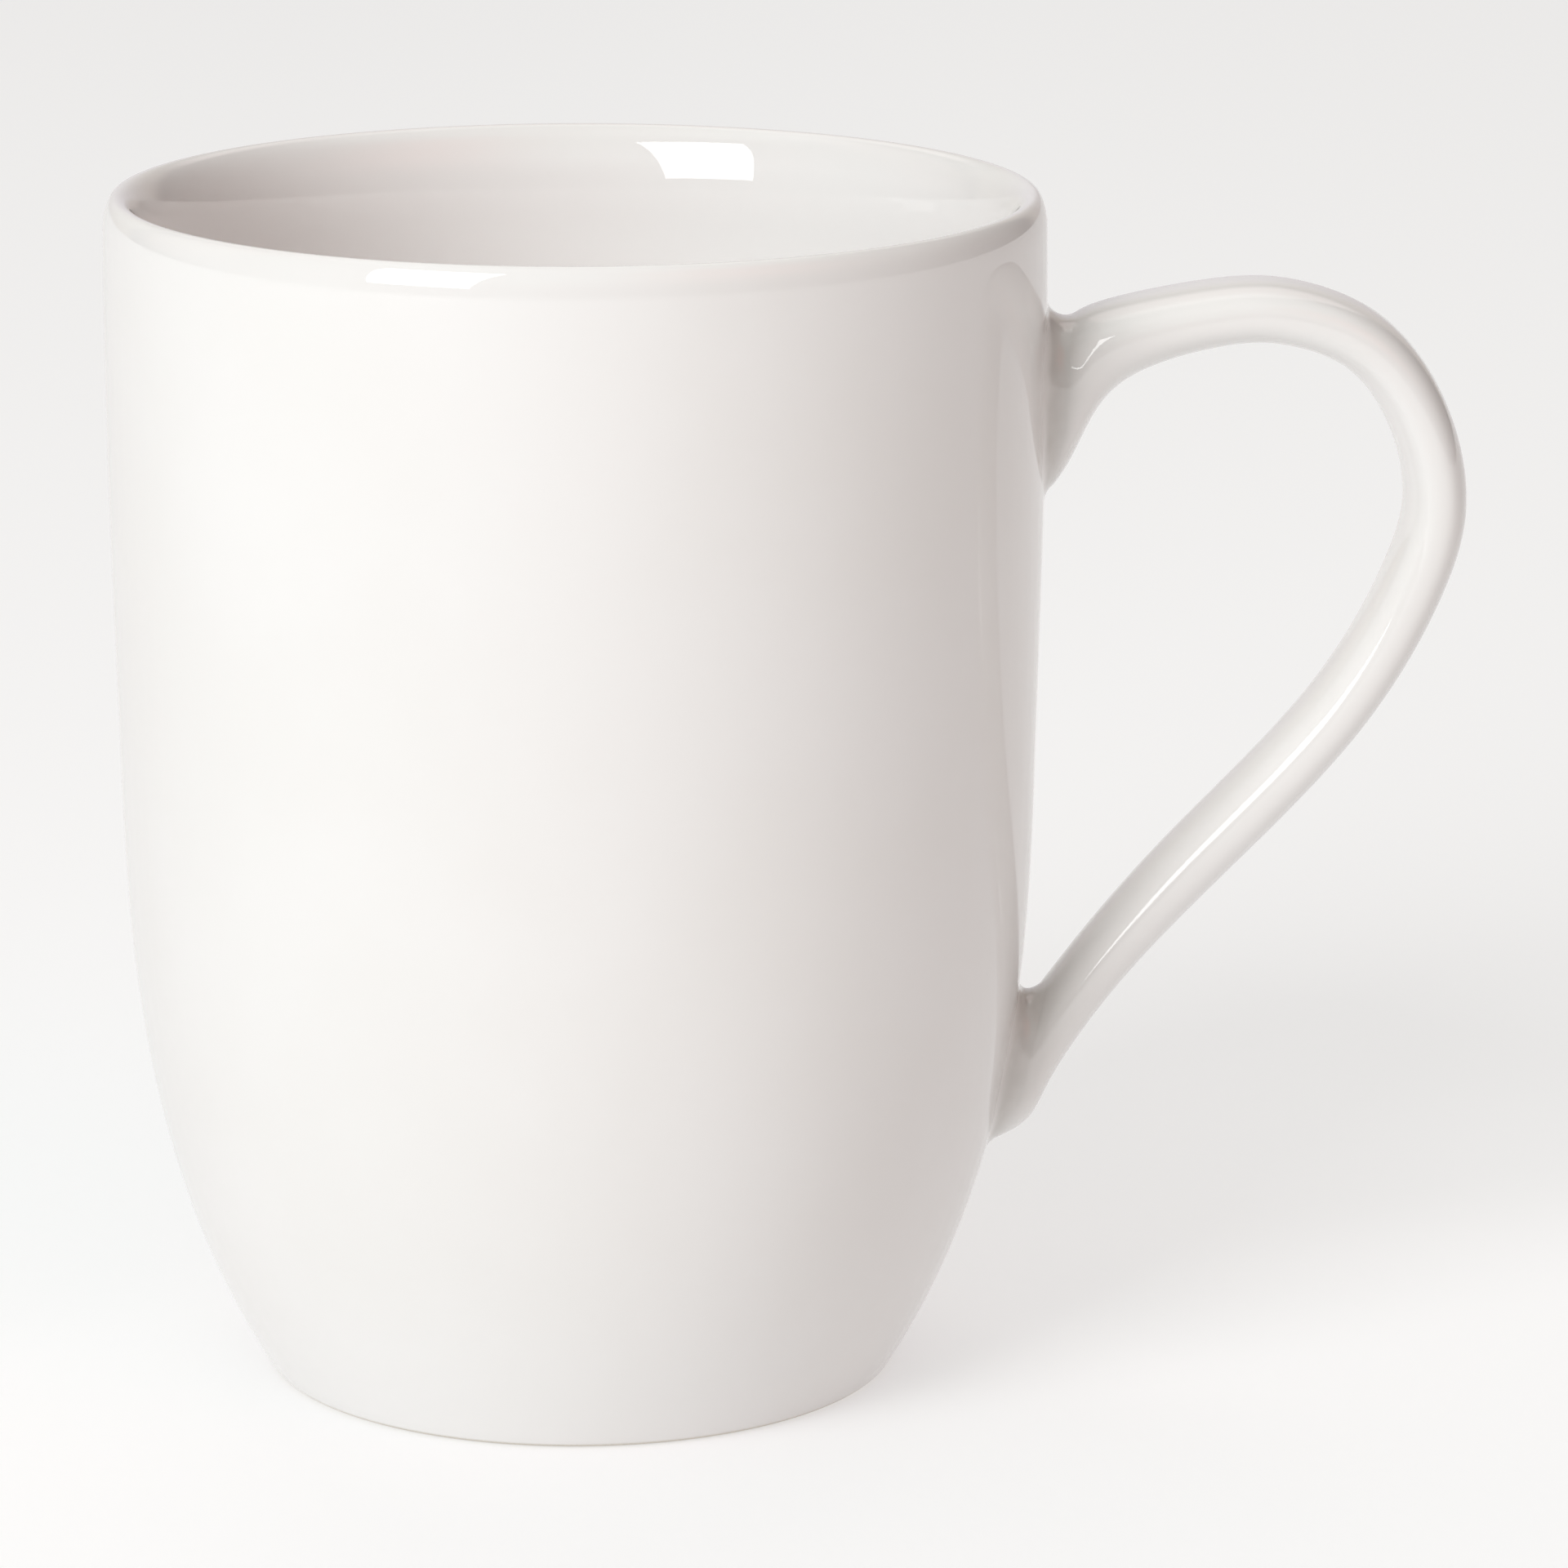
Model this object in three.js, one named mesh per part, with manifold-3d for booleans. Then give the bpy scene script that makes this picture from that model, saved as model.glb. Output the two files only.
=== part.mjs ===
// A glazed ceramic mug with a strap handle, in millimetres, +Z up.
// The cup body and the handle are formed apart and joined by two pads of clay slip.
// The origin is the middle of the footprint, on the plane that the foot ring rests on.
import * as THREE from 'three';
import { mergeVertices } from 'three/addons/utils/BufferGeometryUtils.js';
import Module from 'manifold-3d';

// Cup body
const CUP_HEIGHT = 108;
const RIM_RADIUS = 42;
const WALL_THICKNESS = 4.2;
const LIP_INSET = 1.2; // from the rim inwards to the top of the lip
const LIP_DROP = 3; // height of the lip's outer round
const LIP_TAPER = 8.4; // how far below the lip the inside reaches its full wall
const FLOOR_THICKNESS = 4.8;
const WAIST_RADIUS = 41.4; // where the straight upper wall meets the belly
const WAIST_HEIGHT = 57.6;
const WAIST_LEAN = 1.3; // degrees that the wall opens outwards at the waist
const RIM_LEAN = -0.85; // degrees that the wall closes in at the rim
const FOOT_RADIUS = 27.9; // outer edge of the flat resting ring
const FOOT_LEAN = 31.6; // degrees that the wall opens outwards above the foot
const FOOT_CORNER_RADIUS = 1.2;
const FOOT_RING_WIDTH = 3.6;
const FOOT_RECESS = 1.6; // height of the underside above the resting ring
const FLOOR_FLAT_RADIUS = 14; // flat middle of the floor inside
const CUP_SEGMENTS = 64;

// Shares of a wall's rise that the curve's two end directions reach along it
const BELLY_PULL = [0.4, 0.26];
const UPPER_PULL = [0.22, 0.39];
const BOWL_PULL = [0.75, 0.7];

// Handle
const HANDLE_REACH = 38; // how far the handle stands out past the wall
const HANDLE_SECTION_POWER = 2.5; // 2 is an ellipse, more is a rounder-cornered strap
const HANDLE_SIDES = 20;
const HANDLE_STEPS = 60;
const ROOT_STEPS = 14;

// Slip joints
const SLIP_THICKNESS = 0.8;
const SLIP_SPREAD = 1.2; // how far the slip is squeezed out around each root
const SEAM_GAP = 0.3;

// Outlines of the handle as seen from the side, at a reach of 38 and a cup height of 108:
// outer edge x and z, inner edge x and z, half width. x is measured from the wall at that height.
const STATION_REACH = 38;
const STATION_HEIGHT = 108;
const HANDLE_STATIONS = [
  [-4.6, 95.4, -4.4, 80.4, 6.0],
  [-0.8, 96.3, -0.1, 80.6, 6.2],
  [2.3, 96.5, 3.0, 85.4, 6.4],
  [5.3, 97.7, 7.1, 91.1, 6.4],
  [15.1, 99.6, 15.9, 94.1, 6.3],
  [23.0, 99.4, 21.9, 94.0, 6.1],
  [30.6, 96.0, 27.2, 91.7, 6.0],
  [36.0, 88.7, 31.0, 86.4, 6.0],
  [38.1, 80.3, 32.6, 80.3, 5.9],
  [36.4, 71.5, 31.2, 73.6, 5.7],
  [29.3, 58.5, 24.8, 61.9, 5.5],
  [17.4, 45.0, 13.2, 48.9, 5.2],
  [9.0, 34.9, 5.6, 39.4, 5.2],
  [4.5, 26.3, 2.1, 34.0, 5.3],
  [2.9, 21.8, 0.3, 32.2, 5.4],
  [-1.7, 19.2, -3.1, 31.4, 5.4],
];
const UPPER_ROOT = [0, 0.22]; // stretch of the handle that passes through each joint
const LOWER_ROOT = [0.8, 1];

const WHITE_GLAZE = 0xf4f1ed;
const SLIP_WHITE = 0xeeeae4;

const wasm = await Module();
wasm.setup();

const radians = THREE.MathUtils.degToRad;

/** Direction of a wall that rises while leaning outwards by some degrees. */
function rise(lean, length) {
  return new THREE.Vector2(Math.sin(radians(lean)), Math.cos(radians(lean))).multiplyScalar(length);
}

/** A closed triangle mesh as a solid, leaving out triangles that merging has flattened. */
function toSolid(source) {
  const bare = source.clone();
  bare.deleteAttribute('normal');
  bare.deleteAttribute('uv');
  const merged = mergeVertices(bare, 1e-4);
  const index = merged.index.array;
  const triangles = [];
  for (let i = 0; i < index.length; i += 3) {
    const [a, b, c] = [index[i], index[i + 1], index[i + 2]];
    if (a !== b && b !== c && c !== a) {
      triangles.push(a, b, c);
    }
  }
  return new wasm.Manifold(new wasm.Mesh({
    numProp: 3,
    vertProperties: new Float32Array(merged.attributes.position.array),
    triVerts: new Uint32Array(triangles),
  }));
}

/** A solid as a geometry that a mesh can hold. */
function toGeometry(solid) {
  const mesh = solid.getMesh();
  const geometry = new THREE.BufferGeometry();
  geometry.setAttribute('position', new THREE.BufferAttribute(mesh.vertProperties, 3));
  geometry.setIndex(new THREE.BufferAttribute(mesh.triVerts, 1));
  geometry.computeVertexNormals();
  return geometry;
}

/** A profile of [radius, height] points turned about the Z axis. */
function turned(profile) {
  return toSolid(new THREE.LatheGeometry(profile, CUP_SEGMENTS).rotateX(Math.PI / 2));
}

// The outer wall is two curves that meet at the waist.
const cornerCentre = new THREE.Vector2(FOOT_RADIUS, FOOT_CORNER_RADIUS);
const footEdge = cornerCentre.clone().add(rise(90 + FOOT_LEAN, FOOT_CORNER_RADIUS));
const waist = new THREE.Vector2(WAIST_RADIUS, WAIST_HEIGHT);
const rimEdge = new THREE.Vector2(RIM_RADIUS, CUP_HEIGHT - LIP_DROP);
const bellyRise = waist.y - footEdge.y;
const upperRise = rimEdge.y - waist.y;
const lowerWall = new THREE.CubicBezierCurve(
  footEdge,
  footEdge.clone().add(rise(FOOT_LEAN, bellyRise * BELLY_PULL[0])),
  waist.clone().sub(rise(WAIST_LEAN, bellyRise * BELLY_PULL[1])),
  waist,
);
const upperWall = new THREE.CubicBezierCurve(
  waist,
  waist.clone().add(rise(WAIST_LEAN, upperRise * UPPER_PULL[0])),
  rimEdge.clone().sub(rise(RIM_LEAN, upperRise * UPPER_PULL[1])),
  rimEdge,
);

/** Points of a wall curve from one parameter to another, moved outwards by a distance. */
function wallPoints(curve, from, to, steps, offset) {
  const points = [];
  for (let i = 0; i <= steps; i += 1) {
    const t = from + (to - from) * i / steps;
    const point = curve.getPoint(t);
    const along = curve.getTangent(t);
    const outwards = new THREE.Vector2(along.y, -along.x);
    points.push(point.clone().addScaledVector(outwards, offset));
  }
  return points;
}

/** Points on an arc about a centre, by angle from the outward direction, in degrees. */
function arcPoints(centre, radius, from, to, steps) {
  const points = [];
  for (let i = 0; i <= steps; i += 1) {
    const angle = radians(from + (to - from) * i / steps);
    points.push(new THREE.Vector2(
      centre.x + radius * Math.cos(angle),
      centre.y + radius * Math.sin(angle),
    ));
  }
  return points;
}

/** Points of a quarter ellipse from a foot on a wall, leaning as the wall does there, to its top. */
function quarterRound(foot, top, lean, steps) {
  const points = [];
  for (let i = 0; i <= steps; i += 1) {
    const angle = Math.PI / 2 * i / steps;
    const up = (top.y - foot.y) * Math.sin(angle);
    const across = (top.x - foot.x) * (1 - Math.cos(angle));
    points.push(new THREE.Vector2(
      foot.x + across + up * Math.cos(angle) * lean.x / lean.y,
      foot.y + up,
    ));
  }
  return points;
}

/** Parameter at which a wall curve passes a height, found by halving. */
function parameterAt(curve, height) {
  let [low, high] = [0, 1];
  for (let i = 0; i < 24; i += 1) {
    const middle = (low + high) / 2;
    if (curve.getPoint(middle).y < height) {
      low = middle;
    } else {
      high = middle;
    }
  }
  return low;
}

/** Radius of the outer wall at a height. */
function wallRadius(height) {
  const curve = height < WAIST_HEIGHT ? lowerWall : upperWall;
  return curve.getPoint(parameterAt(curve, height)).x;
}

function makeCupBody() {
  const floorTop = FOOT_RECESS + FLOOR_THICKNESS;
  const ringInner = FOOT_RADIUS - FOOT_RING_WIDTH;
  const outerUpper = wallPoints(upperWall, 0, 1, 8, 0);
  const taperFoot = parameterAt(upperWall, CUP_HEIGHT - LIP_TAPER);
  const innerUpper = wallPoints(upperWall, taperFoot, 0, 6, -WALL_THICKNESS);
  const innerLower = wallPoints(lowerWall, 1, 0.34, 6, -WALL_THICKNESS);
  const bowlTop = innerLower.at(-1);
  const bowlLean = bowlTop.clone().sub(innerLower.at(-2)).normalize();
  const floorEdge = new THREE.Vector2(FLOOR_FLAT_RADIUS, floorTop);
  const bowl = new THREE.CubicBezierCurve(
    bowlTop,
    bowlTop.clone().addScaledVector(bowlLean, (bowlTop.y - floorTop) * BOWL_PULL[0]),
    floorEdge.clone().lerp(new THREE.Vector2(bowlTop.x, floorTop), BOWL_PULL[1]),
    floorEdge,
  );
  const lipTop = new THREE.Vector2(RIM_RADIUS - LIP_INSET, CUP_HEIGHT);
  const outerLean = outerUpper.at(-1).clone().sub(outerUpper.at(-2));
  const innerLean = innerUpper[0].clone().sub(innerUpper[1]);
  const outerLip = quarterRound(outerUpper.at(-1), lipTop, outerLean, 5);
  const innerLip = quarterRound(innerUpper[0], lipTop, innerLean, 7).reverse();
  return turned([
    new THREE.Vector2(0, FOOT_RECESS),
    new THREE.Vector2(ringInner - FOOT_RECESS, FOOT_RECESS),
    new THREE.Vector2(ringInner, 0),
    ...arcPoints(cornerCentre, FOOT_CORNER_RADIUS, -90, -FOOT_LEAN, 3),
    ...wallPoints(lowerWall, 0, 1, 12, 0).slice(1),
    ...outerUpper.slice(1),
    ...outerLip.slice(1),
    ...innerLip.slice(1),
    ...innerUpper.slice(1),
    ...innerLower.slice(1),
    ...bowl.getPoints(6).slice(1),
    new THREE.Vector2(0, floorTop),
  ]);
}

/** The filled outer form of the cup, grown outwards by a distance. */
function cupForm(growth) {
  const wall = [
    ...wallPoints(lowerWall, 0, 1, 12, growth),
    ...wallPoints(upperWall, 0, 1, 8, growth).slice(1),
  ];
  return turned([new THREE.Vector2(0, wall[0].y), ...wall, new THREE.Vector2(0, wall.at(-1).y)]);
}

/** A point at a height in the XZ plane, some way out from the wall, carrying a value as its y. */
function outFromWall(out, carried, height) {
  const z = height * CUP_HEIGHT / STATION_HEIGHT;
  return new THREE.Vector3(wallRadius(z) + out * HANDLE_REACH / STATION_REACH, carried, z);
}

// The handle's two edges; the outer one carries the half width as its y.
const outerEdge = new THREE.CatmullRomCurve3(
  HANDLE_STATIONS.map(([out, height, , , halfWidth]) => outFromWall(out, halfWidth, height)),
  false,
  'catmullrom',
  0.5,
);
const innerEdge = new THREE.CatmullRomCurve3(
  HANDLE_STATIONS.map(([, , out, height]) => outFromWall(out, 0, height)),
  false,
  'catmullrom',
  0.5,
);

/** A stretch of the strap as a solid, with its section grown by a margin on every side. */
function strap([from, to], steps, margin) {
  const geometry = new THREE.CylinderGeometry(1, 1, 1, HANDLE_SIDES, steps);
  const position = geometry.attributes.position;
  const bulge = (value) => Math.sign(value) * Math.abs(value) ** (2 / HANDLE_SECTION_POWER);
  for (let i = 0; i < position.count; i += 1) {
    const along = from + (to - from) * (0.5 - position.getY(i));
    const outer = outerEdge.getPoint(along);
    const inner = innerEdge.getPoint(along);
    const halfWidth = outer.y + margin;
    outer.y = 0;
    const middle = outer.clone().add(inner).multiplyScalar(0.5);
    const halfChord = outer.clone().sub(middle);
    halfChord.setLength(halfChord.length() + margin);
    middle.addScaledVector(halfChord, bulge(position.getX(i)));
    position.setXYZ(i, middle.x, -halfWidth * bulge(position.getZ(i)), middle.z);
  }
  return toSolid(geometry);
}

function makeHandle() {
  return strap([0, 1], HANDLE_STEPS, 0).subtract(cupForm(SLIP_THICKNESS + 2 * SEAM_GAP));
}

/** A pad of slip between the cup wall and one root of the handle. */
function makeSlipJoint(root) {
  return strap(root, ROOT_STEPS, SLIP_SPREAD)
    .intersect(cupForm(SLIP_THICKNESS + SEAM_GAP))
    .subtract(cupForm(SEAM_GAP));
}

function glazedMesh(name, solid, color) {
  const material = new THREE.MeshStandardMaterial({ color, roughness: 0.12, metalness: 0 });
  const mesh = new THREE.Mesh(toGeometry(solid), material);
  mesh.name = name;
  return mesh;
}

const group = new THREE.Group();
group.add(
  glazedMesh('cup_body', makeCupBody(), WHITE_GLAZE),
  glazedMesh('handle', makeHandle(), WHITE_GLAZE),
  glazedMesh('upper_slip_joint', makeSlipJoint(UPPER_ROOT), SLIP_WHITE),
  glazedMesh('lower_slip_joint', makeSlipJoint(LOWER_ROOT), SLIP_WHITE),
);

// The cup's axis moves off the origin so that the origin is the middle of the footprint.
const extent = new THREE.Box3().setFromObject(group);
group.position.x = -(extent.min.x + extent.max.x) / 2;

export default group;
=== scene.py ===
"""A glazed ceramic mug with a strap handle, its studio stage and its camera, as add-on operators."""
import math

import bpy
import numpy as np
from mathutils import Matrix, Vector


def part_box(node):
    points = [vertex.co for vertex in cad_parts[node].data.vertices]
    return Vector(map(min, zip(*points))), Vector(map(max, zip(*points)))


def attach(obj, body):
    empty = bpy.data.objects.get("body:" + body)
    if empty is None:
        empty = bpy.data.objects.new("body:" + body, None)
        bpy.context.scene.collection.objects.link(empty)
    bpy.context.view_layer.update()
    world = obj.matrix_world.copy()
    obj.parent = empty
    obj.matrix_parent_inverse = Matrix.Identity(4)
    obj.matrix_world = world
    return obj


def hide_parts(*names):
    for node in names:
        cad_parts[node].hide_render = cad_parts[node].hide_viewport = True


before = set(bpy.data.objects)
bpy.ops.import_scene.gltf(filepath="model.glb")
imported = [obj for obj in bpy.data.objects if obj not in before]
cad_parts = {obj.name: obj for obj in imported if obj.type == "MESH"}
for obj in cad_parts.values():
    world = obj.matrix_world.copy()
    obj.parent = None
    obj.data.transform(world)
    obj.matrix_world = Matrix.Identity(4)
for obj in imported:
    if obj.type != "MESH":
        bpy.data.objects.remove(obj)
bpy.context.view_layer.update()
CUP_LOW, CUP_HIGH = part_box("cup_body")
AXIS_X = (CUP_LOW.x + CUP_HIGH.x) / 2  # the cup's own axis stands here on the X axis

bl_info = {
    "name": "Glazed mug",
    "version": (1, 0, 0),
    "blender": (4, 5, 0),
    "location": "3D View > Sidebar > Mug",
    "description": "Makes a glazed mug, its handle and slip joints, and a plain studio",
    "category": "Object",
}

MM = 0.001
CUP_SEGMENTS = 256  # facets round the cup
WALL_STEPS = 44  # facets up each half of the cup's wall
STRAP_ASPECT = 2.1  # the strap's width over its thickness
STRAP_COLUMNS = 96  # facets round the handle
STRAP_STEPS = 240  # facets along the handle
FILLET_STEPS = 14  # facets across a slip fillet
FLOOR_HALF = 6.0  # metres from the middle of the stage floor to its edge
CAMERA_SENSOR = 36  # width in mm
CAMERA_LENS = 161.8  # focal length in mm
CAMERA_TURN = (1.716, 13.737, 0.093)  # pan, pitch and roll in degrees
CAMERA_DISTANCE = 0.6218  # metres in front of the cup's axis
CAMERA_HEIGHT = 0.2056  # metres above the floor

# Handle edges seen from the side, in mm: outer edge out and up, inner edge out and up, half width.
# "Out" is measured from the wall at that height.
HANDLE_STATIONS = [
    (-4.6, 95.4, -4.4, 80.4, 6.0),
    (-0.8, 96.3, -0.1, 80.6, 6.2),
    (2.3, 96.5, 3.0, 85.4, 6.4),
    (5.3, 97.7, 7.1, 91.1, 6.4),
    (15.1, 99.6, 15.9, 94.1, 6.3),
    (23.0, 99.4, 21.9, 94.0, 6.1),
    (30.6, 96.0, 27.2, 91.7, 6.0),
    (36.0, 88.7, 31.0, 86.4, 6.0),
    (38.1, 80.3, 32.6, 80.3, 5.9),
    (36.4, 71.5, 31.2, 73.6, 5.7),
    (29.3, 58.5, 24.8, 61.9, 5.5),
    (17.4, 45.0, 13.2, 48.9, 5.2),
    (9.0, 34.9, 5.6, 39.4, 5.2),
    (4.5, 26.3, 2.1, 34.0, 5.3),
    (2.9, 21.8, 0.3, 32.2, 5.4),
    (-1.7, 19.2, -3.1, 31.4, 5.4),
]


def length_prop(name, description, millimetres):
    """A length property in metres whose default is given in millimetres."""
    return bpy.props.FloatProperty(
        name=name, description=description, default=millimetres * MM,
        min=0.0, unit="LENGTH", subtype="DISTANCE", precision=4,
    )


def angle_prop(name, description, degrees):
    """An angle property whose default is given in degrees."""
    return bpy.props.FloatProperty(
        name=name, description=description, default=math.radians(degrees), subtype="ANGLE",
    )


def colour_prop(name, description, rgb):
    """A colour property."""
    return bpy.props.FloatVectorProperty(
        name=name, description=description, default=rgb, size=3, min=0.0, max=1.0, subtype="COLOR",
    )


class MugShape(bpy.types.PropertyGroup):
    """Sizes of the cup and its handle"""

    cup_height: length_prop("Cup height", "From the resting ring to the top of the lip", CUP_HIGH.z / MM)
    rim_radius: length_prop("Rim radius", "Outside radius at the lip", 42.0)
    lip_inset: length_prop("Lip inset", "From the rim inwards to the top of the lip", 1.2)
    lip_drop: length_prop("Lip drop", "Height of the lip's outer round", 3.0)
    lip_taper: length_prop("Lip taper", "How far below the lip the inside reaches its full wall", 8.4)
    wall_thickness: length_prop("Wall thickness", "Wall below the lip", 4.2)
    floor_thickness: length_prop("Floor thickness", "Floor above the recess", 4.8)
    floor_flat: length_prop("Flat floor", "Radius of the flat middle of the floor", 14.0)
    waist_radius: length_prop("Waist radius", "Where the upper wall meets the belly", 41.4)
    waist_height: length_prop("Waist height", "Height of that place", 57.6)
    waist_lean: angle_prop("Waist lean", "How far the wall opens outwards at the waist", 1.3)
    rim_lean: angle_prop("Rim lean", "How far the wall opens outwards at the rim", -0.85)
    foot_radius: length_prop("Foot radius", "Outer edge of the resting ring", 27.9)
    foot_lean: angle_prop("Foot lean", "How far the wall opens outwards above the foot", 31.6)
    foot_corner: length_prop("Foot corner", "Radius of the foot's outer corner", 1.2)
    foot_ring: length_prop("Foot ring", "Width of the resting ring", 3.6)
    foot_recess: length_prop("Foot recess", "Height of the underside above the ring", 1.6)
    section_power: bpy.props.FloatProperty(
        name="Section power", description="2 is an ellipse, more is a squarer strap", default=2.5, min=2.0,
    )
    fillet_top: length_prop("Fillet above the upper root", "Reach of the slip fillet there", 2.0)
    fillet_crotch: length_prop("Fillet above the lower root", "Reach of the slip fillet there", 3.8)
    fillet_side: length_prop("Fillet beside a root", "Reach of the slip fillet on the sides", 2.4)
    fillet_toe: length_prop("Fillet below a root", "Reach of the slip fillet below a root", 0.7)
    # Width of the painted shade in the valleys round each root
    painted_shade_width: length_prop("Pool width", "Width of the glaze pooled round a root", 1.8)


class MugFinish(bpy.types.PropertyGroup):
    """Colours and gloss of the glaze and the bare clay, with painted light inside the cup and painted shade
    round the handle's roots
    """

    glaze: colour_prop("Glaze", "Colour of the white clay under the clear glaze", (0.842, 0.832, 0.820))
    glaze_deep: colour_prop("Deep glaze", "Colour where the glaze lies a little thicker", (0.828, 0.816, 0.800))
    # Painted light: the inside of the cup is painted whiter than the outside, standing in for more light inside
    # the cup
    inside_painted_light: colour_prop("Inside glaze", "Colour of the whiter coat inside the cup", (0.938, 0.928, 0.918))
    # Painted shade: a darker colour painted into the valleys round the handle's roots
    painted_shade_colour: colour_prop("Pooled glaze", "Colour in the valleys round the handle's roots", (0.60, 0.585, 0.56))
    speck: colour_prop("Specks", "Colour of the tiny specks and pin marks", (0.52, 0.49, 0.45))
    clay: colour_prop("Bare clay", "Colour of the unglazed resting ring", (0.70, 0.66, 0.59))
    gloss: bpy.props.FloatProperty(
        name="Gloss", description="Roughness of the clear glaze", default=0.022, min=0.0, max=1.0,
    )
    wave: length_prop("Glaze wave", "Height of the slow waves in the glaze", 0.03)
    peel: length_prop("Orange peel", "Height of the fine ripple in the glaze", 0.0012)


class MugStudio(bpy.types.PropertyGroup):
    """The floor and the lights"""

    floor: colour_prop("Floor", "Colour of the white floor", (0.5, 0.5, 0.5))
    floor_glow: bpy.props.FloatProperty(
        name="Floor glow", description="Light given out by the translucent floor", default=0.49, min=0.0,
    )
    key: bpy.props.FloatProperty(
        name="Softbox", description="Brightness of the softbox in front on the left", default=7.1, min=0.0,
    )
    key_width: length_prop("Softbox width", "Width of the softbox", 750)
    key_height: length_prop("Softbox height", "Height of the softbox", 1056)
    key_distance: length_prop("Softbox distance", "Distance from the middle of the cup", 1600)
    key_azimuth: angle_prop("Softbox azimuth", "Direction of the softbox, turned from the handle", 232)
    key_elevation: angle_prop("Softbox elevation", "Height of the softbox above the horizon", 30)


# Soft panels of light round the cup: azimuth turned from the handle's direction, half width and
# edge, low and high elevation and edge, all in degrees, then the colour.
PANELS = [
    ("backdrop", 90, 34, 6, 30, 65, 14, (1.12, 0.99, 0.97)),
    ("lower backdrop", 95, 38, 10, -5, 26, 12, (0.50, 0.44, 0.37)),
    ("back low", 90, 22.5, 45, -90, 20, 20, (0.24, 0.26, 0.36)),
    ("left", 155, 18, 20, 5, 60, 20, (0.34, 0.21, 0.18)),
    ("front", 270, 22.5, 45, 20, 55, 20, (0.45, 0.63, 0.60)),
    ("front right", 315, 22.5, 45, 20, 55, 20, (0.96, 0.35, 0.28)),
    ("handle side", 0, 22.5, 45, 20, 55, 20, (0.32, 0.30, 0.29)),
    ("ceiling", 0, 400, 1, 55, 200, 20, (0.89, 1.00, 0.98)),
]


def bezier(points, steps):
    """Points of a cubic curve from its four control points."""
    t = np.linspace(0.0, 1.0, steps + 1)[:, None]
    a, b, c, d = (np.asarray(p, float) for p in points)
    return (1 - t) ** 3 * a + 3 * (1 - t) ** 2 * t * b + 3 * (1 - t) * t * t * c + t ** 3 * d


def arc(centre, radius, start, end, steps):
    """Points of an arc by angle from the outward direction, in degrees."""
    angle = np.radians(np.linspace(start, end, steps + 1))
    return np.stack([centre[0] + radius * np.cos(angle), centre[1] + radius * np.sin(angle)], 1)


def quarter_round(foot, top, lean, steps):
    """Points of a quarter ellipse from a foot on a wall, leaning as the wall does there, to its level top."""
    angle = np.linspace(0, math.pi / 2, steps + 1)
    across, up = top[0] - foot[0], top[1] - foot[1]
    radius = foot[0] + across * (1 - np.cos(angle)) + lean[0] / lean[1] * up * np.sin(angle) * np.cos(angle)
    return np.stack([radius, foot[1] + up * np.sin(angle)], 1)


def rise(lean, length):
    """A step of some length that rises while leaning outwards by an angle."""
    return np.array([math.sin(lean), math.cos(lean)]) * length


def outer_wall(shape, steps=150):
    """The outer wall from the foot's corner to the lip as (radius, height) points."""
    corner = np.array([shape.foot_radius, shape.foot_corner])
    foot = corner + rise(math.pi / 2 + shape.foot_lean, shape.foot_corner)
    waist = np.array([shape.waist_radius, shape.waist_height])
    rim = np.array([shape.rim_radius, shape.cup_height - shape.lip_drop])
    belly, upper = waist[1] - foot[1], rim[1] - waist[1]
    lower_part = bezier([
        foot, foot + rise(shape.foot_lean, belly * 0.4),
        waist - rise(shape.waist_lean, belly * 0.26), waist,
    ], steps)
    upper_part = bezier([
        waist, waist + rise(shape.waist_lean, upper * 0.22),
        rim - rise(shape.rim_lean, upper * 0.39), rim,
    ], steps)
    return lower_part, upper_part


def outward_normals(points):
    """Unit normals to the right of a rising line of points."""
    along = np.gradient(points, axis=0)
    along /= np.linalg.norm(along, axis=1)[:, None]
    return np.stack([along[:, 1], -along[:, 0]], 1)


def cup_profile(shape):
    """The closed outline of the cup from the axis underneath to the axis on the floor."""
    lower_part, upper_part = outer_wall(shape, WALL_STEPS)
    outer = np.concatenate([lower_part, upper_part[1:]])
    inner = outer - outward_normals(outer) * shape.wall_thickness
    taper_foot = shape.cup_height - shape.lip_taper
    inner = inner[(inner[:, 1] > shape.waist_height * 0.36) & (inner[:, 1] < taper_foot - 0.3 * MM)][::-1]
    lip_top = np.array([shape.rim_radius - shape.lip_inset, shape.cup_height])
    outside = quarter_round(outer[-1], lip_top, outer[-1] - outer[-2], 14)
    lean = inner[0] - inner[1]
    start = inner[0] + lean * (taper_foot - inner[0, 1]) / lean[1]
    inside = quarter_round(start, lip_top, lean, 26)
    floor_top = shape.foot_recess + shape.floor_thickness
    lean = inner[-1] - inner[-2]
    lean /= np.linalg.norm(lean)
    floor_edge = np.array([shape.floor_flat, floor_top])
    bowl_top = inner[-1]
    bowl = bezier([
        bowl_top, bowl_top + lean * (bowl_top[1] - floor_top) * 0.75,
        floor_edge + (np.array([bowl_top[0], floor_top]) - floor_edge) * 0.7, floor_edge,
    ], 40)
    ring_inner = shape.foot_radius - shape.foot_ring
    recess = shape.foot_recess
    under = bezier([
        (ring_inner - 2.4 * recess, recess), (ring_inner - 0.9 * recess, recess),
        (ring_inner - 0.5 * recess, 0.0), (ring_inner + 0.3 * MM, 0.0),
    ], 14)
    corner = arc(
        (shape.foot_radius, shape.foot_corner), shape.foot_corner, -90, -math.degrees(shape.foot_lean), 10,
    )
    disc = np.linspace(0, 1, 7)[:-1, None]
    return np.concatenate([
        disc * under[0] + (1 - disc) * np.array([0.0, recess]),
        under,
        corner,
        outer[1:],
        outside[1:],
        inside[-2::-1],
        inner,
        bowl[1:],
        (1 - disc[1:]) * floor_edge + disc[1:] * np.array([0.0, floor_top]),
        [[0.0, floor_top]],
    ])


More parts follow.
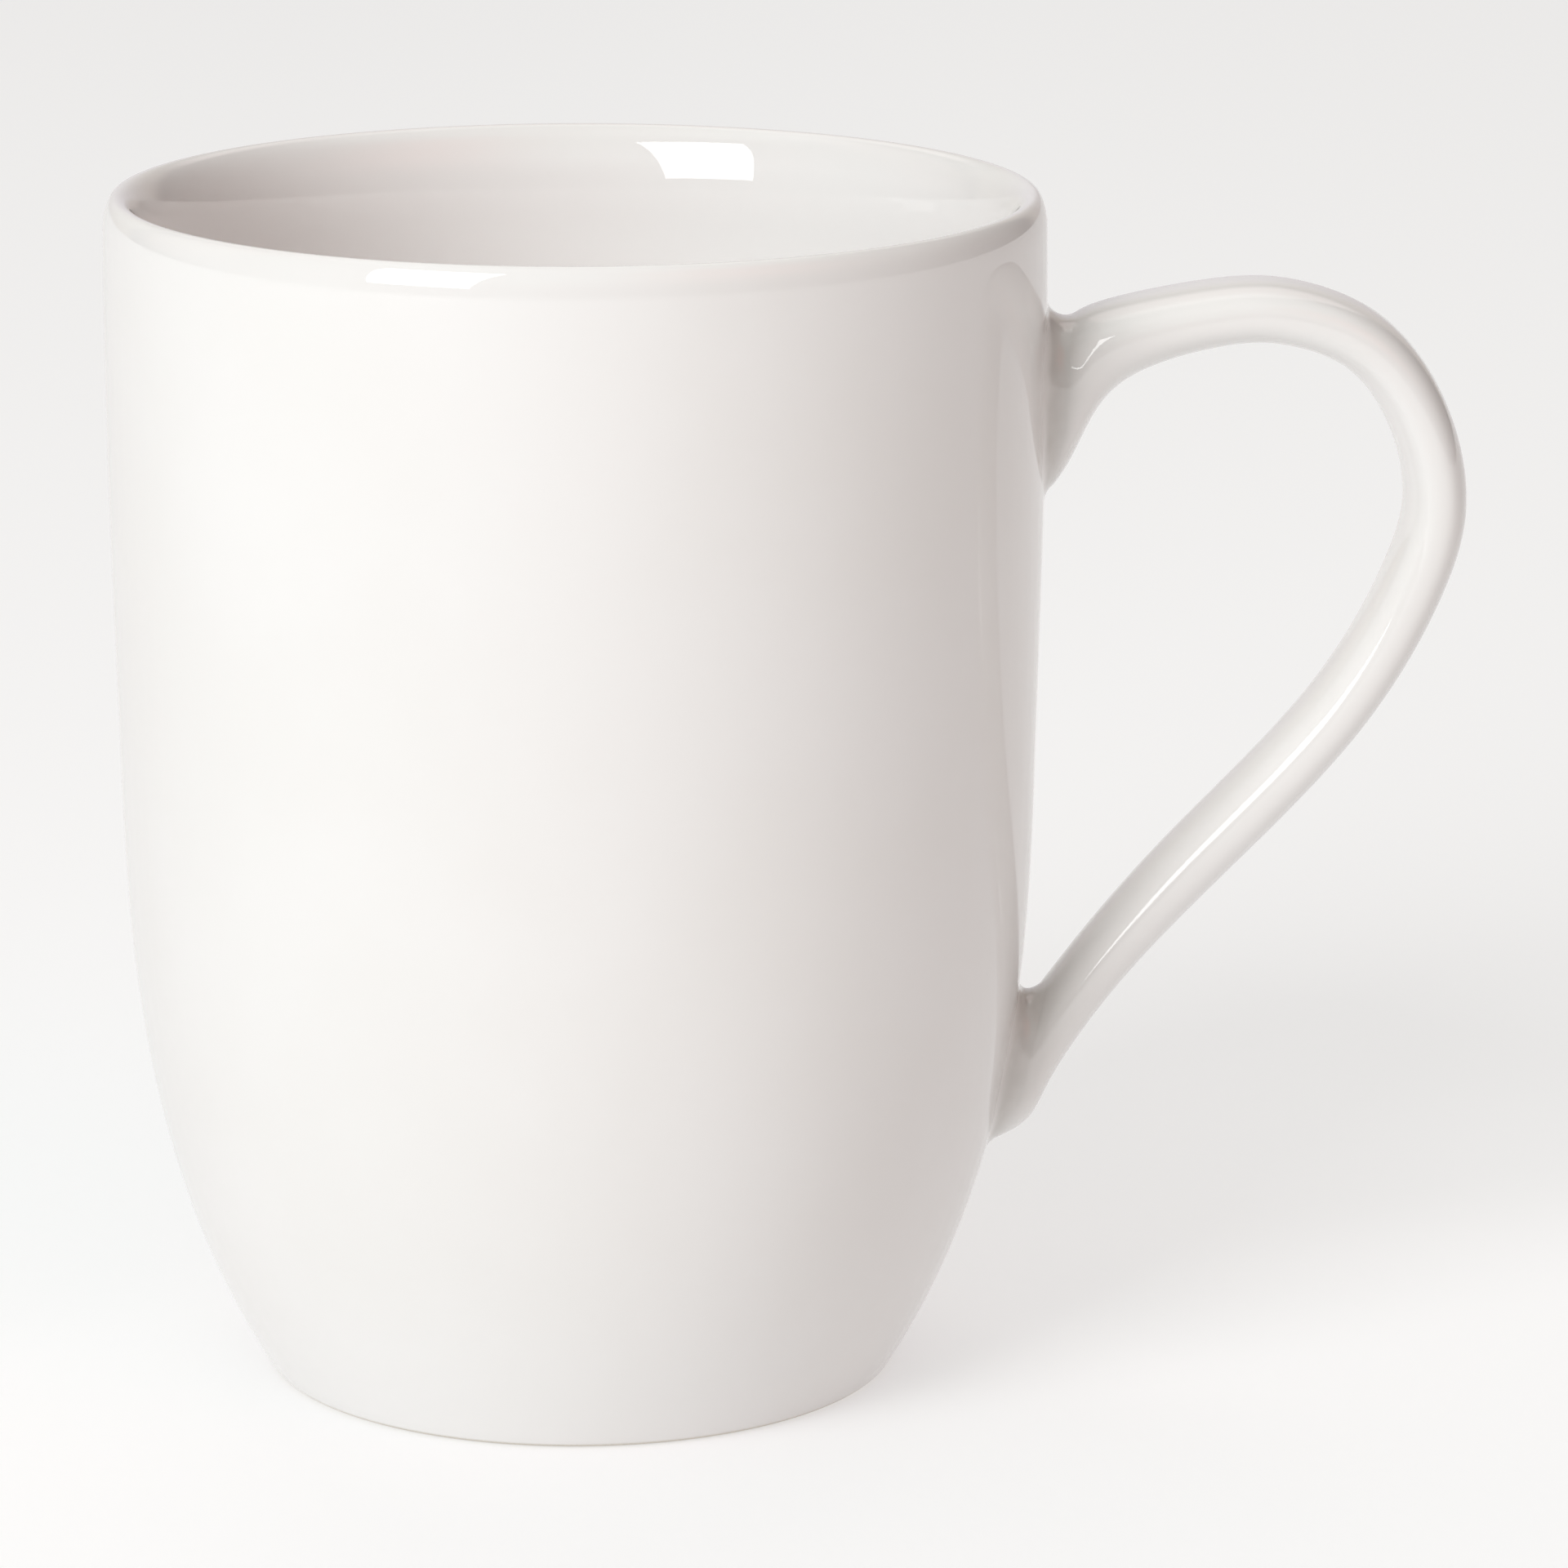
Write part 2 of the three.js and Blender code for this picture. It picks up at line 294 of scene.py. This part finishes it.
def new_object(name, vertices, faces, normals=None):
    """A smooth-shaded mesh object at the origin, with its own normals where they are given."""
    mesh = bpy.data.meshes.new(name)
    mesh.from_pydata(vertices.tolist(), [], faces)
    mesh.validate()
    mesh.shade_smooth()
    if normals is not None:
        mesh.normals_split_custom_set_from_vertices(normals.tolist())
    obj = bpy.data.objects.new(name, mesh)
    bpy.context.scene.collection.objects.link(obj)
    return obj


def lathe(name, profile, segments):
    """The profile turned about the cup's axis, with a single vertex at each end on the axis."""
    turn = np.linspace(0, 2 * math.pi, segments, endpoint=False)
    rings = profile[1:-1]
    x = rings[:, None, 0] * np.cos(turn) + AXIS_X
    y = rings[:, None, 0] * np.sin(turn)
    z = np.repeat(rings[:, None, 1], segments, 1)
    body = np.stack([x, y, z], -1).reshape(-1, 3)
    ends = np.array([[AXIS_X, 0, profile[0, 1]], [AXIS_X, 0, profile[-1, 1]]])
    vertices = np.concatenate([body, ends])
    first, last = len(body), len(body) + 1
    faces = []
    for ring in range(len(rings) - 1):
        for k in range(segments):
            a, b = ring * segments + k, ring * segments + (k + 1) % segments
            faces.append((a, b, b + segments, a + segments))
    top = (len(rings) - 1) * segments
    for k in range(segments):
        faces.append((first, (k + 1) % segments, k))
        faces.append((last, top + k, top + (k + 1) % segments))
    return new_object(name, vertices, faces)


class Spline:
    """A natural cubic spline through evenly numbered rows of values."""

    def __init__(self, rows):
        self.rows = np.asarray(rows, float)
        n = len(self.rows)
        matrix = np.eye(n)
        right = np.zeros_like(self.rows)
        for i in range(1, n - 1):
            matrix[i, i - 1:i + 2] = (1, 4, 1)
            right[i] = 6 * (self.rows[i - 1] - 2 * self.rows[i] + self.rows[i + 1])
        self.bend = np.linalg.solve(matrix, right)

    def __call__(self, u):
        u = np.asarray(u, float)
        i = np.clip(u.astype(int), 0, len(self.rows) - 2)
        t = (u - i)[..., None]
        a, b = self.rows[i], self.rows[i + 1]
        ma, mb = self.bend[i], self.bend[i + 1]
        return (
            a * (1 - t) + b * t
            + ((1 - t) ** 3 - (1 - t)) * ma / 6 + (t ** 3 - t) * mb / 6
        )


class Wall:
    """The cup's outer wall as a radius at each height."""

    def __init__(self, shape):
        lower_part, upper_part = outer_wall(shape, 1200)
        points = np.concatenate([lower_part, upper_part[1:]])
        self.heights, self.radii = points[:, 1], points[:, 0]
        self.slopes = np.gradient(self.radii, self.heights)

    def radius(self, height):
        return np.interp(height, self.heights, self.radii)

    def outside(self, points):
        """How far points lie outside the wall, measured level."""
        return np.hypot(points[..., 0] - AXIS_X, points[..., 1]) - self.radius(points[..., 2])

    def snap(self, points):
        """Points moved level onto the wall."""
        flat = points[..., :2] - [AXIS_X, 0]
        flat = flat / np.linalg.norm(flat, axis=-1)[..., None] * self.radius(points[..., 2])[..., None]
        return np.concatenate([flat + [AXIS_X, 0], points[..., 2:]], -1)

    def normal(self, points):
        """Unit normals of the wall beside points."""
        flat = points[..., :2] - [AXIS_X, 0]
        flat = flat / np.linalg.norm(flat, axis=-1)[..., None]
        slope = np.interp(points[..., 2], self.heights, self.slopes)
        normal = np.concatenate([flat, -slope[..., None]], -1)
        return normal / np.linalg.norm(normal, axis=-1)[..., None]


def section_points(power, aspect, count):
    """Evenly spaced points of a unit strap section: across its thickness and across its width."""
    angle = np.linspace(0, 2 * math.pi, 4001)
    c, s = np.cos(angle), np.sin(angle)
    thick = np.sign(c) * np.abs(c) ** (2 / power)
    wide = np.sign(s) * np.abs(s) ** (2 / power)
    steps = np.hypot(np.diff(thick), np.diff(wide) * aspect)
    length = np.concatenate([[0], np.cumsum(steps)])
    at = np.linspace(0, length[-1], count, endpoint=False)
    return np.interp(at, length, thick), np.interp(at, length, wide)


class Strap:
    """The handle's surface: a strap section carried along its two edges."""

    def __init__(self, shape, wall, count):
        rows = []
        for out_a, up_a, out_b, up_b, half in np.array(HANDLE_STATIONS) * MM:
            rows.append([
                AXIS_X + wall.radius(up_a) + out_a, up_a, AXIS_X + wall.radius(up_b) + out_b, up_b, half,
            ])
        self.spline = Spline(rows)
        self.last = len(rows) - 1
        self.thick, self.wide = section_points(shape.section_power, STRAP_ASPECT, count)

    def surface(self, u, column):
        """Points at numbers u along the handle on the section's columns."""
        row = self.spline(u)
        middle_x, middle_z = (row[..., 0] + row[..., 2]) / 2, (row[..., 1] + row[..., 3]) / 2
        half_x, half_z = (row[..., 0] - row[..., 2]) / 2, (row[..., 1] - row[..., 3]) / 2
        thick, wide = self.thick[column], self.wide[column]
        return np.stack([middle_x + half_x * thick, -row[..., 4] * wide, middle_z + half_z * thick], -1)


def root_crossings(strap, wall, columns, from_start):
    """Where each column of the strap passes through the wall, and numbers along it by length."""
    span = 5.0
    u = np.linspace(0, span, 1501)
    if not from_start:
        u = strap.last - u
    grid = strap.surface(u[:, None], columns[None, :])
    outside = wall.outside(grid)
    inside = outside < 0
    last_inside = len(u) - 1 - np.argmax(inside[::-1], axis=0)
    lengths = np.concatenate([
        np.zeros((1, len(columns))), np.cumsum(np.linalg.norm(np.diff(grid, axis=0), axis=-1), axis=0),
    ])
    crossing, start = [], []
    for j in columns:
        i = last_inside[j]
        part = outside[i, j] / (outside[i, j] - outside[i + 1, j])
        crossing.append(grid[i, j] * (1 - part) + grid[i + 1, j] * part)
        start.append(lengths[i, j] * (1 - part) + lengths[i + 1, j] * part)
    return u, lengths, np.array(crossing), np.array(start)


def root_fillet(shape, strap, wall, from_start):
    """The fillet round one root: where it leaves the strap, and its rows of points down to the wall."""
    count = len(strap.thick)
    columns = np.arange(count)
    u, lengths, crossing, start = root_crossings(strap, wall, columns, from_start)
    # 1 where the column faces up along the wall, -1 where it faces down
    middle = crossing.mean(axis=0)
    lift = crossing[:, 2] - middle[2]
    lift = lift / np.abs(lift).max()
    up_part, down_part = np.clip(lift, 0, 1) ** 2, np.clip(-lift, 0, 1) ** 2
    reach = (
        shape.fillet_side * (1 - up_part - down_part)
        + (shape.fillet_top if from_start else shape.fillet_crotch) * up_part + shape.fillet_toe * down_part
    )
    leave_u = np.array([
        np.interp(start[j] + reach[j], lengths[:, j], u) for j in columns
    ])
    leave = strap.surface(leave_u, columns)
    along_loop = np.roll(crossing, -1, axis=0) - np.roll(crossing, 1, axis=0)
    away = np.cross(wall.normal(crossing), along_loop)
    away /= np.linalg.norm(away, axis=1)[:, None]
    away *= np.sign(((crossing - middle) * away).sum(axis=1).mean())
    land = wall.snap(crossing + away * reach[:, None])
    t = np.linspace(0, 1, FILLET_STEPS + 1)[:, None, None]
    pull = 0.52  # how far the curve is drawn towards the corner
    b, c = leave + (crossing - leave) * pull, land + (crossing - land) * pull
    rows = (1 - t) ** 3 * leave + 3 * (1 - t) ** 2 * t * b + 3 * (1 - t) * t * t * c + t ** 3 * land
    skirt = wall.snap(land + away * 0.5 * MM) - wall.normal(land) * 0.03 * MM
    return leave_u, np.concatenate([rows, skirt[None]])


def grid_normals(points):
    """Normals of a grid whose columns close on themselves."""
    along = np.gradient(points, axis=0)
    around = np.roll(points, -1, axis=1) - np.roll(points, 1, axis=1)
    normal = np.cross(along, around)
    return normal / np.maximum(np.linalg.norm(normal, axis=-1), 1e-12)[..., None]


def grid_object(name, points, normals, painted_shade):
    """An object from a grid of points whose columns close on themselves, with its painted shade."""
    rows, columns = points.shape[:2]
    faces = []
    for i in range(rows - 1):
        for j in range(columns):
            a, b = i * columns + j, i * columns + (j + 1) % columns
            faces.append((a, a + columns, b + columns, b))
    made = new_object(name, points.reshape(-1, 3), faces, normals.reshape(-1, 3))
    made.data.attributes.new("painted_shade", "FLOAT", "POINT").data.foreach_set("value", painted_shade.reshape(-1))
    return made


def strap_pieces(shape):
    """The handle and its two fillets as grids that share their edges and normals."""
    wall = Wall(shape)
    strap = Strap(shape, wall, STRAP_COLUMNS)
    columns = np.arange(STRAP_COLUMNS)
    upper_u, upper_rows = root_fillet(shape, strap, wall, True)
    lower_u, lower_rows = root_fillet(shape, strap, wall, False)
    share = np.linspace(0, 1, STRAP_STEPS + 1)[1:-1, None]
    u = upper_u * (1 - share) + lower_u * share
    middle = strap.surface(u, columns[None, :])
    whole = np.concatenate([upper_rows[::-1], middle, lower_rows])
    normals = grid_normals(whole)
    # Painted shade along the two valleys round the roots
    along = np.concatenate([[0.0], np.cumsum(np.linalg.norm(np.diff(whole, axis=0), axis=-1).mean(axis=1))])
    painted_shade = np.zeros(whole.shape[:2])
    for row in (len(upper_rows) // 2, len(whole) - 1 - len(lower_rows) // 2):
        painted_shade += np.exp(-((along - along[row]) / shape.painted_shade_width) ** 2)[:, None]
    # No painted shade where the slip meets the wall
    fade = np.clip((np.minimum(along, along[-1] - along) - 0.5 * MM) / (1.5 * MM), 0, 1)
    painted_shade *= (fade * fade * (3 - 2 * fade))[:, None]
    a, b = len(upper_rows) - 1, len(upper_rows) + len(middle)
    return {
        "upper": (whole[:a + 1], normals[:a + 1], painted_shade[:a + 1]),
        "handle": (whole[a:b + 1], normals[a:b + 1], painted_shade[a:b + 1]),
        "lower": (whole[b:], normals[b:], painted_shade[b:]),
    }


class Nodes:
    """Short ways to add linked nodes to a tree."""

    def __init__(self, tree):
        self.tree = tree

    def add(self, kind, *linked, **values):
        """A new node: inputs in order from sockets or values, then inputs or settings by name."""
        made = self.tree.nodes.new(kind)
        for key, value in values.items():
            if key in made.inputs:
                self.feed(made.inputs[key], value)
            else:
                setattr(made, key, value)
        for socket, value in zip(made.inputs, linked):
            self.feed(socket, value)
        return made

    def feed(self, socket, value):
        """A socket's link or its value."""
        if isinstance(value, bpy.types.NodeSocket):
            self.tree.links.new(value, socket)
        elif value is not None:
            socket.default_value = value

    def maths(self, operation, *values):
        """The output of a maths node."""
        return self.add("ShaderNodeMath", *values, operation=operation).outputs[0]

    def noise(self, where, scale, detail=2.0, roughness=0.5):
        """The output of a noise texture, about 0 to 1."""
        made = self.add("ShaderNodeTexNoise", Vector=where, Scale=scale, Detail=detail, Roughness=roughness)
        return made.outputs["Fac"]

    def span(self, value, low, high, to_low=0.0, to_high=1.0):
        """A value's span carried smoothly onto another span."""
        made = self.add("ShaderNodeMapRange", interpolation_type="SMOOTHSTEP")
        for key, number in (("From Min", low), ("From Max", high), ("To Min", to_low), ("To Max", to_high)):
            self.feed(made.inputs[key], number)
        self.feed(made.inputs["Value"], value)
        return made.outputs["Result"]

    def blend(self, share, first, second):
        """Two colours mixed by a share."""
        made = self.add("ShaderNodeMix", data_type="RGBA")
        for key, value in (("Factor_Float", share), ("A_Color", first), ("B_Color", second)):
            self.feed(next(socket for socket in made.inputs if socket.identifier == key), value)
        return next(socket for socket in made.outputs if socket.identifier == "Result_Color")

    def bump(self, height, distance, under=None):
        """Normals bumped by a height of 0 to 1 over a distance."""
        made = self.add("ShaderNodeBump", Distance=distance, Height=height, Normal=under, Strength=1.0)
        return made.outputs["Normal"]


def glaze_material(name, finish, painted_shade=False, inside=False):
    """White clay under a clear, slightly wavy glaze, with tiny specks and pin marks, and where asked, painted
    light inside the cup and painted shade in the valleys round the handle's roots.
    """
    material = bpy.data.materials.new(name)
    material.use_nodes = True
    made = Nodes(material.node_tree)
    shader = material.node_tree.nodes["Principled BSDF"]
    shader.inputs["IOR"].default_value = 1.5
    where = made.add("ShaderNodeTexCoord").outputs["Object"]
    height = made.add("ShaderNodeSeparateXYZ", where).outputs["Z"]

    thick = made.span(made.noise(where, 38.0, 3.0), 0.38, 0.66)
    colour = made.blend(thick, (*finish.glaze, 1), (*finish.glaze_deep, 1))
    if inside:
        # Painted light: the inside of the cup painted whiter, standing in for more light there
        share = made.add("ShaderNodeAttribute", attribute_name="inside").outputs["Fac"]
        colour = made.blend(share, colour, (*finish.inside_painted_light, 1))
    if painted_shade:
        # Painted shade: the valleys round the handle's roots painted darker, a little uneven
        painted_shade_colour = made.add("ShaderNodeAttribute", attribute_name="painted_shade").outputs["Fac"]
        uneven = made.span(made.noise(where, 260.0), 0.25, 0.7, 0.6, 1.0)
        colour = made.blend(made.maths("MULTIPLY", painted_shade_colour, uneven), colour, (*finish.painted_shade_colour, 1))
    cells = made.add("ShaderNodeTexVoronoi", Vector=where, Scale=95.0, Randomness=1.0)
    lot = made.add("ShaderNodeSeparateColor", cells.outputs["Color"]).outputs[0]
    chosen = made.maths("GREATER_THAN", lot, 0.975)
    near = made.span(cells.outputs["Distance"], 0.016, 0.030, 1.0, 0.0)
    speck = made.maths("MULTIPLY", near, chosen)
    colour = made.blend(made.maths("MULTIPLY", speck, 0.7), colour, (*finish.speck, 1))

    ring = made.span(height, 0.25 * MM, 0.55 * MM, 1.0, 0.0)
    grain = made.noise(where, 4200.0, 4.0, 0.7)
    bare = made.blend(made.span(grain, 0.3, 0.75), (*finish.clay, 1), (*[c * 0.86 for c in finish.clay], 1))
    made.feed(shader.inputs["Base Color"], made.blend(ring, colour, bare))

    smear = made.span(made.noise(where, 55.0, 4.0, 0.6), 0.35, 0.75, finish.gloss * 0.75, finish.gloss * 1.5)
    made.feed(shader.inputs["Roughness"], made.span(ring, 0.0, 1.0, smear, 0.85))

    wave = made.bump(made.noise(where, 62.0, 1.0), finish.wave)
    peel = made.bump(made.noise(where, 720.0, 2.0), finish.peel, wave)
    pin = made.bump(made.maths("MULTIPLY", speck, -1.0), 0.02 * MM, peel)
    clay = made.bump(made.maths("MULTIPLY", grain, ring), 0.03 * MM, pin)
    made.feed(shader.inputs["Normal"], clay)
    return material


def studio_world(world):
    """Soft panels of light in their directions round the cup."""
    world.use_nodes = True
    tree = world.node_tree
    tree.nodes.clear()
    made = Nodes(tree)
    across = made.add("ShaderNodeSeparateXYZ", made.add("ShaderNodeTexCoord").outputs["Generated"])
    turn = made.maths("ARCTAN2", across.outputs["Y"], across.outputs["X"])
    lift = made.maths("ARCSINE", across.outputs["Z"])
    total = None
    for _, azimuth, half, edge, low, high, fade, colour in PANELS:
        middle = math.radians((azimuth + 180) % 360 - 180)
        wrapped = made.maths("WRAP", made.maths("SUBTRACT", turn, middle), math.pi, -math.pi)
        off = made.maths("ABSOLUTE", wrapped)
        half, edge, low, high, fade = (math.radians(v) for v in (half, edge / 2, low, high, fade / 2))
        above = made.span(lift, low - fade, low + fade)
        below = made.span(lift, high - fade, high + fade, 1.0, 0.0)
        beside = made.span(off, half - edge, half + edge, 1.0, 0.0)
        share = made.maths("MULTIPLY", beside, made.maths("MULTIPLY", above, below))
        light = made.add("ShaderNodeVectorMath", colour, operation="SCALE", Scale=share).outputs[0]
        if total is not None:
            light = made.add("ShaderNodeVectorMath", total, light, operation="ADD").outputs[0]
        total = light
    background = made.add("ShaderNodeBackground", Color=total, Strength=1.0)
    made.add("ShaderNodeOutputWorld", background.outputs[0])


class MUG_OT_camera(bpy.types.Operator):
    """Places the camera"""

    bl_idname = "mug.camera"
    bl_label = "Camera"

    def execute(self, context):
        data = bpy.data.cameras.new("camera")
        data.sensor_width = CAMERA_SENSOR
        data.lens = CAMERA_LENS
        camera = bpy.data.objects.new("camera", data)
        context.scene.collection.objects.link(camera)
        pan, pitch, roll = (math.radians(angle) for angle in CAMERA_TURN)
        ahead = Vector((math.sin(pan) * math.cos(pitch), math.cos(pan) * math.cos(pitch), -math.sin(pitch)))
        right = Vector((math.cos(pan), -math.sin(pan), 0))
        up = right.cross(ahead)
        right, up = right * math.cos(roll) + up * math.sin(roll), up * math.cos(roll) - right * math.sin(roll)
        axes = Matrix((right, up, -ahead)).transposed().to_4x4()
        camera.matrix_world = Matrix.Translation((AXIS_X, -CAMERA_DISTANCE, CAMERA_HEIGHT)) @ axes
        data.clip_start, data.clip_end = 0.01, 50
        context.scene.camera = camera
        return {"FINISHED"}


class MUG_OT_cup_body(bpy.types.Operator):
    """Makes the glazed cup body"""

    bl_idname = "mug.cup_body"
    bl_label = "Cup body"

    def execute(self, context):
        shape, finish = context.scene.mug_shape, context.scene.mug_finish
        profile = cup_profile(shape)
        body = lathe("cup_body_glazed", profile, CUP_SEGMENTS)
        # 0 on the outside, rising to 1 a little way down the inside of the lip: the share of the painted light
        # that makes the inside whiter
        along = np.concatenate([[0.0], np.cumsum(np.linalg.norm(np.diff(profile, axis=0), axis=1))])
        inside = np.clip((along - along[profile[:, 1].argmax()]) / (4 * MM), 0, 1)
        inside = np.concatenate([np.repeat(inside[1:-1], CUP_SEGMENTS), [0.0, 1.0]])
        body.data.attributes.new("inside", "FLOAT", "POINT").data.foreach_set("value", inside)
        body.data.materials.append(glaze_material("white_glaze", finish, inside=True))
        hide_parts("cup_body")
        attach(body, "root")
        return {"FINISHED"}


class MUG_OT_handle(bpy.types.Operator):
    """Makes the strap handle"""

    bl_idname = "mug.handle"
    bl_label = "Handle"

    def execute(self, context):
        shape, finish = context.scene.mug_shape, context.scene.mug_finish
        grids = strap_pieces(shape)
        handle = grid_object("handle_glazed", *grids["handle"])
        handle.data.materials.append(glaze_material("handle_glaze", finish, painted_shade=True))
        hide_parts("handle")
        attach(handle, "root")
        return {"FINISHED"}


class MUG_OT_slip_joints(bpy.types.Operator):
    """Makes the fillets of slip round the handle's two roots"""

    bl_idname = "mug.slip_joints"
    bl_label = "Slip joints"

    def execute(self, context):
        shape, finish = context.scene.mug_shape, context.scene.mug_finish
        grids = strap_pieces(shape)
        glaze = glaze_material("slip_glaze", finish, painted_shade=True)
        for place in ("upper", "lower"):
            fillet = grid_object(place + "_slip_fillet", *grids[place])
            fillet.data.materials.append(glaze)
            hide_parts(place + "_slip_joint")
            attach(fillet, "root")
        return {"FINISHED"}


class MUG_OT_stage(bpy.types.Operator):
    """Makes the floor, the softbox and the surrounding light"""

    bl_idname = "mug.stage"
    bl_label = "Studio stage"

    def execute(self, context):
        studio = context.scene.mug_studio
        corners = [(-1, -1, 0), (1, -1, 0), (1, 1, 0), (-1, 1, 0)]
        floor = new_object("floor", np.array(corners, float) * FLOOR_HALF, [(0, 1, 2, 3)])
        material = bpy.data.materials.new("stage_floor")
        material.use_nodes = True
        shader = material.node_tree.nodes["Principled BSDF"]
        shader.inputs["Base Color"].default_value = (*studio.floor, 1)
        shader.inputs["Roughness"].default_value = 1.0
        shader.inputs["Specular IOR Level"].default_value = 0.0
        shader.inputs["Emission Color"].default_value = (1, 1, 1, 1)
        shader.inputs["Emission Strength"].default_value = studio.floor_glow
        floor.data.materials.append(material)

        lamp = bpy.data.lights.new("softbox", "AREA")
        lamp.shape = "RECTANGLE"
        lamp.size, lamp.size_y = studio.key_width, studio.key_height
        lamp.energy = studio.key * math.pi * lamp.size * lamp.size_y
        softbox = bpy.data.objects.new("softbox", lamp)
        context.scene.collection.objects.link(softbox)
        azimuth, elevation = studio.key_azimuth, studio.key_elevation
        towards = Vector((
            math.cos(elevation) * math.cos(azimuth),
            math.cos(elevation) * math.sin(azimuth),
            math.sin(elevation),
        ))
        softbox.location = Vector((AXIS_X, 0, CUP_HIGH.z * 0.55)) + towards * studio.key_distance
        softbox.rotation_euler = (-towards).to_track_quat("-Z", "Y").to_euler()
        softbox.visible_camera = False

        world = bpy.data.worlds.new("studio")
        studio_world(world)
        context.scene.world = world
        context.scene.view_settings.view_transform = "Standard"
        return {"FINISHED"}


class MUG_PT_panel(bpy.types.Panel):
    """Lists the mug's operators"""

    bl_label = "Mug"
    bl_idname = "MUG_PT_panel"
    bl_space_type = "VIEW_3D"
    bl_region_type = "UI"
    bl_category = "Mug"

    def draw(self, context):
        for operator in OPERATORS:
            self.layout.operator(operator.bl_idname)


OPERATORS = (MUG_OT_camera, MUG_OT_cup_body, MUG_OT_handle, MUG_OT_slip_joints, MUG_OT_stage)
CLASSES = (MugShape, MugFinish, MugStudio, *OPERATORS, MUG_PT_panel)


def register():
    """Adds the classes and their settings to Blender."""
    for cls in CLASSES:
        bpy.utils.register_class(cls)
    bpy.types.Scene.mug_shape = bpy.props.PointerProperty(type=MugShape)
    bpy.types.Scene.mug_finish = bpy.props.PointerProperty(type=MugFinish)
    bpy.types.Scene.mug_studio = bpy.props.PointerProperty(type=MugStudio)


def unregister():
    """Takes the classes and their settings out of Blender."""
    del bpy.types.Scene.mug_studio
    del bpy.types.Scene.mug_finish
    del bpy.types.Scene.mug_shape
    for cls in reversed(CLASSES):
        bpy.utils.unregister_class(cls)


def main():
    """Runs every operator."""
    register()
    bpy.ops.mug.camera()
    bpy.ops.mug.cup_body()
    bpy.ops.mug.handle()
    bpy.ops.mug.slip_joints()
    bpy.ops.mug.stage()


if __name__ == "__main__":
    main()
